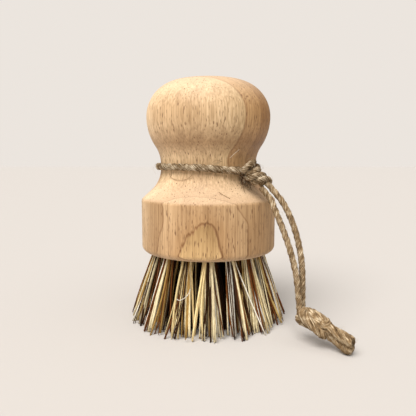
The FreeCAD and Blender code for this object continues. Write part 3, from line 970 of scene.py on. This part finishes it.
def lay_twine(path, reference, closed=False, swell=1.0, pitch=TWINE_PITCH, sides=16, yarns=YARNS):
    """Points, polygons and texture places of a twine. A yarn's middle is the path's point plus its
    offset, turned once round for each pitch; its surface is a circle with furrows that wind round it.
    swell is the thickness along the path, as a share of the twine's own."""
    stations = len(path)
    along, across, up = path_frames(path, reference)
    far = path_length(path)
    turns = np.linspace(0, round(far[-1] / pitch), stations) if closed else far / pitch
    swell = np.broadcast_to(swell, stations)[:, None]
    angle = np.arange(sides) * 2 * np.pi / sides
    points = []
    places = []
    for yarn in range(yarns):
        lay = (2 * np.pi * (turns + yarn / yarns))[:, None]
        out = np.cos(lay) * across + np.sin(lay) * up
        side = np.cross(along, out)
        middle = path + YARN_OFFSET * swell * out
        furrow = 1 + FURROW * np.cos(5 * angle - 3.0 * lay) + FINE_FURROW * np.sin(9 * angle + 5.0 * lay)
        lump = 1 + LUMP * np.sin(far * 1.9 + 2 * yarn) * np.sin(far * 0.73 + yarn)
        radius = (YARN_RADIUS * swell * furrow * lump[:, None])[:, :, None]
        spokes = np.cos(angle)[:, None] * out[:, None, :] + np.sin(angle)[:, None] * side[:, None, :]
        points.append(middle[:, None, :] + radius * spokes)
        round_it = angle / (2 * np.pi) + yarn
        places.append(np.stack(np.broadcast_arrays(far[:, None] / TEXTURE_LENGTH, round_it), axis=-1))
    points = np.stack(points)
    index = np.arange(points.size // 3).reshape(yarns, stations, sides)
    after = np.roll(index, -1, axis=2)
    walls = np.stack([index[:, :-1], after[:, :-1], after[:, 1:], index[:, 1:]], axis=-1)
    polygons = [walls.reshape(-1, 4)]
    if closed:
        seam = np.stack([index[:, -1], after[:, -1], after[:, 0], index[:, 0]], axis=-1)
        polygons.append(seam.reshape(-1, 4))
    else:
        polygons.append(np.concatenate([index[:, 0, ::-1], index[:, -1]]))
    return points.reshape(-1, 3), polygons, np.stack(places).reshape(-1, 2)


def put_twine(name, path, reference, **choices):
    """A twine as a mesh, with the distance along it and the turn round it as its texture map."""
    points, polygons, places = lay_twine(path, reference, **choices)
    piece = put_mesh(name, points, polygons)
    layer = piece.data.uv_layers.new(name="lay")
    corners = np.empty(len(piece.data.loops), dtype=np.int32)
    piece.data.loops.foreach_get("vertex_index", corners)
    layer.data.foreach_set("uv", places[corners].astype(np.float32).ravel())
    return piece


print("twine:", YARNS, "yarns, one turn in", TWINE_PITCH, "mm")

# %% [markdown]
# ## Jute
#
# Jute is dry and has a fine, uneven fibre that runs along the yarn. The texture map of the twine follows
# the yarn, so noise that is stretched along it gives the fibre wherever the twine goes. The loop and its
# knot get a darker jute of their own, with more contrast: painted shade, for the shade they lie in under
# the knob.

# %% Jute
FIBRE_WEIGHT = 0.72
FIBRE_STRETCH = (1.2, 5.0, 1.0)
FIBRE_TURN = (0, 0, 0.12)


def jute_finish(name, darkest, middle, lightest):
    """Dry jute: fibres along the yarn, darker where the yarn is dirty."""
    material, tree, shader = new_material(name)
    lay = node(tree, "ShaderNodeUVMap", uv_map="lay").outputs[0]
    cells = node(tree, "ShaderNodeMapping", {0: lay}, {"Scale": FIBRE_STRETCH, "Rotation": FIBRE_TURN})
    fine = {"Scale": 2.2, "Detail": 5.0, "Roughness": 0.7}
    fibre = node(tree, "ShaderNodeTexNoise", {"Vector": cells.outputs[0]}, fine).outputs[0]
    place = node(tree, "ShaderNodeTexCoord").outputs["Object"]
    patch = node(tree, "ShaderNodeTexNoise", {"Vector": place}, {"Scale": 420.0, "Detail": 2.0}).outputs[0]
    dirt = maths(tree, "MULTIPLY", patch, 1 - FIBRE_WEIGHT)
    both = maths(tree, "MULTIPLY_ADD", fibre, FIBRE_WEIGHT, dirt)
    colour = ramp(tree, both, [(0.38, darkest), (0.5, middle), (0.63, lightest)])
    tree.links.new(colour, shader.inputs["Base Color"])
    bump = node(tree, "ShaderNodeBump", {"Height": fibre}, {"Strength": 0.9, "Distance": 0.0004})
    tree.links.new(bump.outputs[0], shader.inputs["Normal"])
    shader.inputs["Roughness"].default_value = 0.8
    shader.inputs["Specular IOR Level"].default_value = 0.2
    return material


jute = jute_finish("jute twine", (0.055, 0.030, 0.012), (0.285, 0.185, 0.09), (0.80, 0.67, 0.47))
# A darker copy of the jute with more contrast, for the loop and its knot: painted shade
shaded_jute = jute_finish("shaded jute twine", (0.030, 0.016, 0.006), (0.215, 0.138, 0.066),
                        (0.86, 0.74, 0.55))
hair_finish, _, hair_shader = new_material("loose jute hair")
hair_shader.inputs["Base Color"].default_value = (0.52, 0.42, 0.28, 1)
hair_shader.inputs["Roughness"].default_value = 0.7
print("jute finishes:", jute.name, "and", shaded_jute.name)

# %% [markdown]
# ## Loose hairs
#
# Short hairs stand off the twine all along it and break up its outline. Each starts on the twine,
# follows its twist for a while and then lifts away. They are worked out together, like the fibres, with
# three sides each.

# %% Loose hairs
HAIR_RADIUS = 0.05
HAIR_START = 0.93
HAIR_SHORTEST = 0.35
HAIR_THINNING = 0.5
HAIR_WAVER = 0.05
HAIR_FLOOR_GAP = 0.03
HAIR_SIDES = 3
HAIR_REFERENCE = np.array((0.31, 0.52, 0.79))


def hairs(path, reference, per_mm, longest, lift, stations=7):
    """Paths and radii of loose hairs: each starts on the twine, follows its twist, and rises away with
    the square of the distance along the hair."""
    along, across, up = path_frames(path, reference)
    far = path_length(path)
    count = int(far[-1] * per_mm)
    length = random.uniform(HAIR_SHORTEST, 1.0, count)[:, None] * longest
    share = np.linspace(0, 1, stations)[None, :]
    start = random.uniform(0, far[-1], count)[:, None]
    where = np.clip(start + random.choice((-1, 1), count)[:, None] * length * share, 0, far[-1])
    station = np.interp(where, far, np.arange(len(path)))
    low = np.clip(station.astype(int), 0, len(path) - 2)
    part = (station - low)[:, :, None]
    fields = (path, across, up)
    middle, first, second = [field[low] * (1 - part) + field[low + 1] * part for field in fields]
    turn = random.uniform(0, 2 * np.pi, count)[:, None] + where * 2 * np.pi / TWINE_PITCH
    away = TWINE_DIAMETER / 2 * HAIR_START + random.exponential(lift, count)[:, None] * share ** 2
    spoke = np.cos(turn)[:, :, None] * first + np.sin(turn)[:, :, None] * second
    centres = middle + away[:, :, None] * spoke
    centres += np.cumsum(random.normal(0, HAIR_WAVER, centres.shape), axis=1) * share[:, :, None]
    return centres, np.full((count, stations), HAIR_RADIUS) * (1 - HAIR_THINNING * share)


def put_hairs(name, path, reference, **choices):
    """The hairs of a twine as one dressed mesh, all of them above the floor."""
    centres, radii = hairs(path, reference, **choices)
    points, faces = tubes(centres, radii, HAIR_SIDES, HAIR_REFERENCE)
    points[:, 2] = np.maximum(points[:, 2], HAIR_FLOOR_GAP)
    piece = put_mesh(name, points, faces)
    dress(piece, hair_finish, "twine", "hanger")
    return piece


# %% [markdown]
# ## Loop round the neck
#
# The loop lies round the straight part of the neck, and the knot pulls it down at one side. Its path
# closes on itself, so the number of twists is rounded to a whole one and no seam shows. Its own pull
# presses it flat against the wood, which is done by moving the finished points.

# %% Neck loop
UP = np.array((0.0, 0.0, 1.0))
HANGER_AZIMUTH = math.radians(48.5)
KNOT_AZIMUTH = math.radians(43.5)
TWINE_CLEARANCE = 0.3
LOOP_RADIUS = NECK_RADIUS + TWINE_CLEARANCE + TWINE_DIAMETER / 2
LOOP_RISE = 0.85
LOOP_SAG = 1.8
LOOP_SAG_WIDTH = math.radians(38.0)
LOOP_STATIONS = 560
to_hanger = np.array((math.sin(HANGER_AZIMUTH), -math.cos(HANGER_AZIMUTH), 0.0))
sideways = np.cross(UP, to_hanger)


def on_loop(azimuth, stand_off=0.0, lift=0.0):
    """Points on or near the loop, by azimuth from the front: a circle whose height falls by the sag,
    times a bell curve, at the knot."""
    azimuth = np.asarray(azimuth, dtype=float)
    off_knot = (azimuth - KNOT_AZIMUTH + np.pi) % (2 * np.pi) - np.pi
    height = neck_bottom + LOOP_RISE - LOOP_SAG * np.exp(-(off_knot / LOOP_SAG_WIDTH) ** 2) + lift
    reach = LOOP_RADIUS + stand_off
    return np.stack([reach * np.sin(azimuth), -reach * np.cos(azimuth), height], axis=-1)


def press_flat(piece, radius, flat, tall, inwards):
    """Presses a loop against the wood: the part of each point's distance from the axis beyond the radius
    is made smaller and moved inwards, and its height above the path is made larger."""
    places = read_points(piece)
    away = np.linalg.norm(places[:, :2], axis=1)
    pressed = radius + (away - radius) * flat - inwards
    level = on_loop(np.arctan2(places[:, 0], -places[:, 1]))[:, 2]
    places[:, :2] *= (pressed / away)[:, None]
    places[:, 2] = level + (places[:, 2] - level) * tall
    move_points(piece, places)


loop_line = on_loop(np.arange(LOOP_STATIONS) * 2 * np.pi / LOOP_STATIONS)
neck_loop = put_twine("neck_twine", loop_line, UP, closed=True, swell=1.05)
press_flat(neck_loop, LOOP_RADIUS, flat=0.74, tall=1.12, inwards=0.35)
dress(neck_loop, shaded_jute, "twine", "hanger", "neck_loop")
put_hairs("neck_twine_hairs", loop_line, UP, per_mm=0.7, longest=6.0, lift=0.5)
print("loop:", round(float(path_length(loop_line)[-1]), 1), "mm round")

# %% [markdown]
# ## Hanging strands
#
# Two strands leave the neck knot side by side, fall outwards in a curve, and enter the end knot. Each
# route has the corner points of the solid's, which is made of straight runs and arcs. Here they are the
# control points of a smooth spline, which begins and ends in the same places and rounds the corners.
# Blender's own curve gives the points along it, and the yarns are laid round those.

# %% Hanging strands
KNOT_AXIS = unit(np.array((0.62, -0.28, -0.73)))
KNOT_DISTANCE = NECK_RADIUS + 6.0
KNOT_DROP = 2.3
KNOT_HALF = 4.8
STRAND_OFFSET = 1.35
# Distance from the axis, height, each strand from the middle between the two, and their direction from +X
HANGING_ROUTE = np.array(((34.6, 48.6, 2.2, 0), (39.0, 40.0, 2.2, 0), (42.4, 30.5, 1.75, 15),
                          (44.0, 20.5, 1.4, 45), (44.4, 10.6, 1.4, 60)))
knot_middle = np.array((KNOT_DISTANCE * math.sin(KNOT_AZIMUTH), -KNOT_DISTANCE * math.cos(KNOT_AZIMUTH),
                        neck_bottom - KNOT_DROP))
strand_start = knot_middle + KNOT_AXIS * KNOT_HALF
exit_aside = unit(np.cross(KNOT_AXIS, (0.0, 1.0, 0.0)))


def route_of(side):
    """The points that one strand passes: out of the knot along its axis, then down the hanging route."""
    first = strand_start + exit_aside * side * STRAND_OFFSET
    second = first + KNOT_AXIS * TWINE_DIAMETER * 2
    far, high, aside, direction = HANGING_ROUTE.T[:, :, None]
    apart = np.cos(np.radians(direction)) * (1, 0, 0) + np.sin(np.radians(direction)) * (0, 1, 0)
    return np.concatenate([[first, second], far * to_hanger + high * UP + side * aside * apart])


def spline_points(name, route):
    """Points along a smooth spline with the route as its control points, read from a curve that is
    removed."""
    curve = bpy.data.curves.new(name, "CURVE")
    curve.dimensions = "3D"
    spline = curve.splines.new("NURBS")
    spline.points.add(len(route) - 1)
    spline.points.foreach_set("co", np.concatenate([route * MM, np.ones((len(route), 1))], axis=1).ravel())
    spline.order_u = 3
    spline.use_endpoint_u = True
    spline.resolution_u = 40
    holder = bpy.data.objects.new(name, curve)
    drawn = bpy.data.meshes.new_from_object(holder)
    points = np.empty(len(drawn.vertices) * 3)
    drawn.vertices.foreach_get("co", points)
    bpy.data.meshes.remove(drawn)
    bpy.data.objects.remove(holder)
    bpy.data.curves.remove(curve)
    return points.reshape(-1, 3) / MM


for strand_name, side in (("left", -1), ("right", 1)):
    line = spline_points("strand route", route_of(side))
    strand = put_twine("strand_" + strand_name, line, sideways)
    dress(strand, jute, "twine", "hanger", "hanging_strand_" + strand_name)
    strand_hairs = put_hairs("strand_hairs_" + strand_name, line, sideways,
                             per_mm=0.9, longest=5.0, lift=0.45)
    print("strand", strand_name, "length", round(float(path_length(line)[-1]), 1), "mm")

# %% [markdown]
# ## Knot at the neck
#
# The loop was closed with a few tight turns round both strands. The twine leaves the loop at the front,
# climbs a little, winds round the knot's axis, and its end is tucked inside. A helix gives the turns;
# two slow waves push them out of step, because hand-tied turns are never even. A short core fills them.

# %% Neck knot
NECK_TURNS = 3.6
NECK_TURN_RADIUS = 2.1
FIRST_ANGLE = 1.2
HELIX_START, HELIX_LENGTH = -5.2, 9.2
# Each wave: its height, its angle for one turn of the helix, and its angle at the start
ALONG_WAVE = (0.9, 5.3, 1.0)
AWAY_WAVE = (0.45, 3.7, 0.4)
TUCK = 2.6
CORE_ENDS = (-4.4, 4.6)
CORE_STATIONS = 60
NECK_REFERENCE = (0.41, 0.33, 0.85)
# Where the twine lifts off the loop: azimuth in degrees, how far it stands off, and how far it rises
LEAD = ((14, 0.1, 0.0), (21, 0.3, 0.1), (28, 0.9, 0.4))
neck_first = unit(np.cross(KNOT_AXIS, UP))
neck_second = np.cross(KNOT_AXIS, neck_first)


def wave(turn, height, angle, start):
    """A sine wave over the turns of the helix."""
    return height * np.sin(angle * turn + start)


def neck_knot_path(steps=10, stations=520):
    """From the loop into a helix about the knot's axis, and then inwards. The helix's place along the
    axis and its radius each have a sine wave of their own added."""
    turn = np.linspace(0, NECK_TURNS, int(NECK_TURNS * steps))
    angle = (FIRST_ANGLE - 2 * np.pi * turn)[:, None]
    along = HELIX_START + HELIX_LENGTH * turn / NECK_TURNS + wave(turn, *ALONG_WAVE)
    away = NECK_TURN_RADIUS + wave(turn, *AWAY_WAVE)
    spoke = np.cos(angle) * neck_first + np.sin(angle) * neck_second
    helix = knot_middle + along[:, None] * KNOT_AXIS + away[:, None] * spoke
    lead = [on_loop(math.radians(azimuth), stand_off, lift) for azimuth, stand_off, lift in LEAD]
    return through(np.concatenate([lead, helix, [knot_middle + KNOT_AXIS * TUCK]]), stations)


neck_line = neck_knot_path()
neck_knot = put_twine("neck_knot_twine", neck_line, NECK_REFERENCE, swell=1.12)
dress(neck_knot, shaded_jute, "twine", "hanger", "neck_knot")
core_line = knot_middle + np.linspace(*CORE_ENDS, CORE_STATIONS)[:, None] * KNOT_AXIS
neck_core = put_twine("neck_knot_core", core_line, UP, swell=1.35)
dress(neck_core, jute, "twine", "hanger")
put_hairs("neck_knot_hairs", neck_line, NECK_REFERENCE, per_mm=1.2, longest=7.0, lift=0.9)
print("neck knot:", round(float(path_length(neck_line)[-1]), 1), "mm of twine")

# %% [markdown]
# ## Frayed end under the knot
#
# The short end of the twine sticks out under the knot and has frayed into dark fuzz. Its hairs start in
# one place and fan out downwards. Wherever one would enter the wood, it is moved out to just clear of
# the handle's outline.

# %% Frayed end under the knot
FUZZ_ROOT = np.array((13.6, -17.6, 59.4))
FUZZ_ROOT_SPREAD = (1.0, 0.5, 0.6)
FUZZ_TOWARD = np.array((0.6, -0.15, -0.75))
FUZZ_FAN = 0.38
FUZZ_BEND = 0.9
FUZZ_SHORTEST = 0.4
FUZZ_RADIUS = 0.075
FUZZ_TONES = np.array([[0.035, 0.018, 0.009], [0.12, 0.062, 0.028], [0.28, 0.18, 0.09], [0.62, 0.50, 0.34]])
FUZZ_SHARES = np.array([0.24, 0.36, 0.26, 0.14])


def clear_of_wood(points, gap=0.12):
    """Moves points outwards to the gap from the wood, where they are nearer to the axis than the outline
    there."""
    away = np.linalg.norm(points[..., :2], axis=-1)
    least = np.interp(points[..., 2], outline[:, 1], outline[:, 0]) + gap
    points[..., :2] *= (np.maximum(away, least) / away)[..., None]
    return points


def fuzz_paths(count, longest, stations=8):
    """Hairs that start near one place, go their own way about a common direction, and bend with the
    square of the distance along them."""
    share = np.linspace(0, 1, stations)[None, :, None]
    start = FUZZ_ROOT + random.normal(0, FUZZ_ROOT_SPREAD, (count, 3))
    way = unit(FUZZ_TOWARD + random.normal(0, FUZZ_FAN, (count, 3)))
    length = random.uniform(FUZZ_SHORTEST, 1.0, (count, 1, 1)) * longest
    bend = random.normal(0, FUZZ_BEND, (count, 1, 3))
    return clear_of_wood(start[:, None] + way[:, None] * length * share + bend * share ** 2)


fuzz_finish = fibre_finish("frayed jute", 0.8)
fuzz = fuzz_paths(count=150, longest=4.6)
points, faces = tubes(fuzz, np.full(fuzz.shape[:2], FUZZ_RADIUS), HAIR_SIDES, HAIR_REFERENCE)
neck_fuzz = put_mesh("neck_knot_fuzz", points, faces)
fuzz_tones = fibre_tones(np.zeros(len(fuzz), dtype=int), FUZZ_TONES, FUZZ_SHARES, alike=0.0)
point_colours(neck_fuzz, "tone", np.repeat(fuzz_tones, fuzz.shape[1] * HAIR_SIDES, axis=0))
dress(neck_fuzz, fuzz_finish, "twine", "hanger")
print("fuzz:", len(fuzz), "hairs")

# %% [markdown]
# ## Single hairs on the wood
#
# A few hairs of jute lie loose on the neck and the shoulder. Each has a path of its own, like the curled
# fibre, and is kept just clear of the wood.

# %% Single hairs on the wood
LOOSE_STATIONS = 24
# Name, tone, and the points that the hair passes
LOOSE_HAIRS = (
    ("under_loop", (0.26, 0.15, 0.07),
     ((-14.8, -13.8, 60.0), (-14.4, -14.4, 58.6), (-12.3, -16.5, 57.7), (-9.8, -18.1, 57.6),
      (-7.5, -18.9, 58.3), (-6.0, -19.6, 59.6))),
    ("over_loop", (0.30, 0.19, 0.09), ((1.4, -20.0, 64.2), (3.4, -19.8, 65.0), (5.3, -19.3, 64.3))),
    ("on_neck", (0.88, 0.78, 0.62), ((7.9, -18.6, 65.8), (9.4, -18.3, 67.2), (11.5, -17.9, 69.0))),
    ("on_shoulder", (0.30, 0.18, 0.085), ((3.7, -23.0, 53.5), (5.9, -23.9, 52.2), (7.8, -24.3, 51.3))),
)
for hair_name, tone, places in LOOSE_HAIRS:
    line = clear_of_wood(through(places, LOOSE_STATIONS))
    loose_hair = single_hair("loose_hair_" + hair_name, line, FUZZ_RADIUS, sides=5,
                             reference=(0.3, 0.2, 0.9), tone=tone)
    dress(loose_hair, fuzz_finish, "twine", "hanger")
print("single hairs:", len(LOOSE_HAIRS))

# %% [markdown]
# ## End knot
#
# The end knot is an overhand knot: a twine that goes round and through its own loop, and so crosses
# itself three times. Joined at its ends, that is the trefoil, which has a short formula: go round twice
# while moving to and fro along the knot three times, and outwards and inwards in step, so that each
# crossing has one twine over and one under. Both strands run in it together, so it is thick.

# %% End knot
END_START = 42.6 * to_hanger + 11.4 * UP
END_AXIS = unit(12.8 * to_hanger - 4.7 * UP)
END_LENGTH = 12.8
KNOT_BLUNTNESS = 1.5
end_middle = END_START + END_AXIS * END_LENGTH / 2 + 1.2 * END_AXIS - 0.5 * UP


def trefoil_path(middle, axis, half_length, round_radius, weave, start, stations=420):
    """The overhand knot as a closed path along an axis: with t from 0 to one turn, the angle about the
    axis is 2t, the place along it is the half length times sin 3t, made blunt at the ends by a
    hyperbolic tangent, and the distance from it is the round radius plus the weave times cos 3t."""
    t = np.arange(stations) * 2 * np.pi / stations
    first = unit(np.cross(axis, UP))
    second = np.cross(axis, first)
    angle = (2 * t + start)[:, None]
    out = np.cos(angle) * first + np.sin(angle) * second
    away = (round_radius + weave * np.cos(3 * t))[:, None]
    blunt = np.tanh(KNOT_BLUNTNESS * np.sin(3 * t)) / math.tanh(KNOT_BLUNTNESS)
    return middle + half_length * blunt[:, None] * axis + away * out, out


end_line, end_out = trefoil_path(end_middle, END_AXIS, half_length=4.9, round_radius=1.55, weave=0.6,
                                 start=2.0)
end_knot = put_twine("end_knot_twine", end_line, end_out, closed=True, swell=1.65, pitch=22.0, yarns=5)
dress(end_knot, jute, "twine", "hanger", "end_knot")
end_hairs = put_hairs("end_knot_hairs", end_line, end_out, per_mm=0.7, longest=5.0, lift=0.5)
print("end knot:", round(float(path_length(end_line)[-1]), 1), "mm of twine")

# %% [markdown]
# ## Frayed ends
#
# Below the knot both strands were cut with one snip. The yarns have opened there, so each tail is a
# thick, soft stub, rounded at its tip. The two lie one on the other and end in the same upright cut, to
# which their points are pressed back.

# %% Frayed ends
TAIL_START = END_START + END_AXIS * (END_LENGTH - 2.5)
TAIL_TIP = 63.8 * to_hanger + 3.35 * UP
PAST_TIP = 1.06
CUT_DISTANCE = 64.4
TAIL_APART, TAIL_PARTING, TAIL_ASIDE = 0.9, 0.8, 0.5
TAIL_SWELL = 0.35
ROUNDED_FROM, ROUNDED_LENGTH = 0.86, 0.15
# Name, side, thickness at the knot, and the solids that the tail stands for
TAILS = (("upper", 1, 1.55, ("frayed_ends",)), ("lower", -1, 1.7, ()))
tail_axis = unit(TAIL_TIP - TAIL_START)
tail_up = np.cross(tail_axis, np.cross(UP, tail_axis))


def tail_path(side, stations=70):
    """From inside the knot to a little past the cut; the tail parts from the other one towards its end."""
    share = np.linspace(0, PAST_TIP, stations)[:, None]
    aside = side * (TAIL_APART + TAIL_PARTING * share) * tail_up - side * TAIL_ASIDE * sideways
    return TAIL_START + (TAIL_TIP - TAIL_START) * share + aside


def cut_level(piece):
    """Presses a tail's points back to the cut and up to the floor."""
    places = read_points(piece)
    over = np.maximum(places @ to_hanger - CUT_DISTANCE, 0)
    places -= over[:, None] * to_hanger
    places[:, 2] = np.maximum(places[:, 2], FLOOR_GAP)
    move_points(piece, places)


tails = []
for tail_name, side, thick, stands_for in TAILS:
    line = tail_path(side)
    share = np.linspace(0, 1, len(line))
    rounded = np.sqrt(1 - np.clip((share - ROUNDED_FROM) / ROUNDED_LENGTH, 0, 1) ** 2)
    thickness = (thick + TAIL_SWELL * share) * rounded
    tail = put_twine("tail_" + tail_name, line, sideways, swell=thickness, pitch=24.0, yarns=5)
    cut_level(tail)
    dress(tail, jute, "twine", "hanger", *stands_for)
    tails += [tail, put_hairs("tail_hairs_" + tail_name, line, sideways, per_mm=3.0, longest=5.0, lift=0.7)]
print("tails:", [tail.name for tail in tails[::2]])
